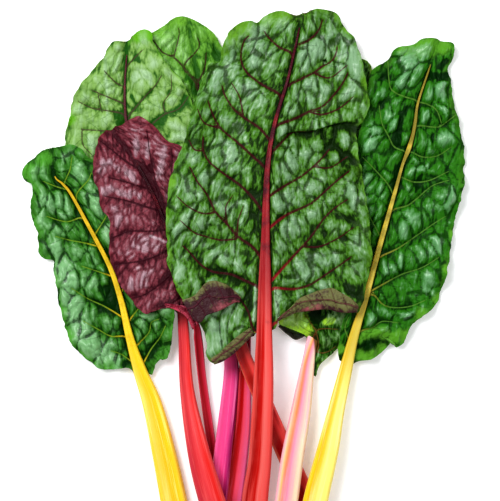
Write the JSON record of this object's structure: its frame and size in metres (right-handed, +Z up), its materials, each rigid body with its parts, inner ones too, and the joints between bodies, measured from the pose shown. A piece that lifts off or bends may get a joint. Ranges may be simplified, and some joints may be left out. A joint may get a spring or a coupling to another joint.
{
  "type": "swiss chard bunch",
  "caption": "Loose bunch of rainbow chard lying flat: crinkled green and burgundy leaves fanned over each other on yellow, red, magenta and pink-white stalks.",
  "frame": {"origin": "the table surface under the middle of the bunch", "axes": "+Z up from the table, +Y from the cut stalk ends to the leaf tips, +X to the right seen from above"},
  "size_m": [0.3537, 0.4527, 0.0331],
  "materials": {
    "green_blade": "satin",
    "dark_green_blade": "satin",
    "pale_green_blade": "satin",
    "burgundy_blade": "satin",
    "yellow_stalk": "satin",
    "red_stalk": "satin",
    "dark_red_stalk": "satin",
    "magenta_stalk": "satin",
    "crimson_stalk": "satin",
    "pink_white_stalk": "satin"
  },
  "bodies": {
    "root": {"centre_leaf_blade": "green_blade", "centre_leaf_stalk": "red_stalk", "right_yellow_stalk_leaf_blade": "dark_green_blade", "right_yellow_stalk_leaf_stalk": "yellow_stalk", "burgundy_leaf_blade": "burgundy_blade", "burgundy_leaf_stalk": "dark_red_stalk", "left_yellow_stalk_leaf_blade": "dark_green_blade", "left_yellow_stalk_leaf_stalk": "yellow_stalk", "red_stalk_leaf_blade": "pale_green_blade", "red_stalk_leaf_stalk": "red_stalk", "pink_white_stalk_leaf_blade": "dark_green_blade", "pink_white_stalk_leaf_stalk": "pink_white_stalk", "dark_red_stalk_leaf_blade": "pale_green_blade", "dark_red_stalk_leaf_stalk": "dark_red_stalk", "magenta_stalk_leaf_blade": "green_blade", "magenta_stalk_leaf_stalk": "magenta_stalk", "crimson_stalk_leaf_blade": "green_blade", "crimson_stalk_leaf_stalk": "crimson_stalk"}
  },
  "joints": []
}
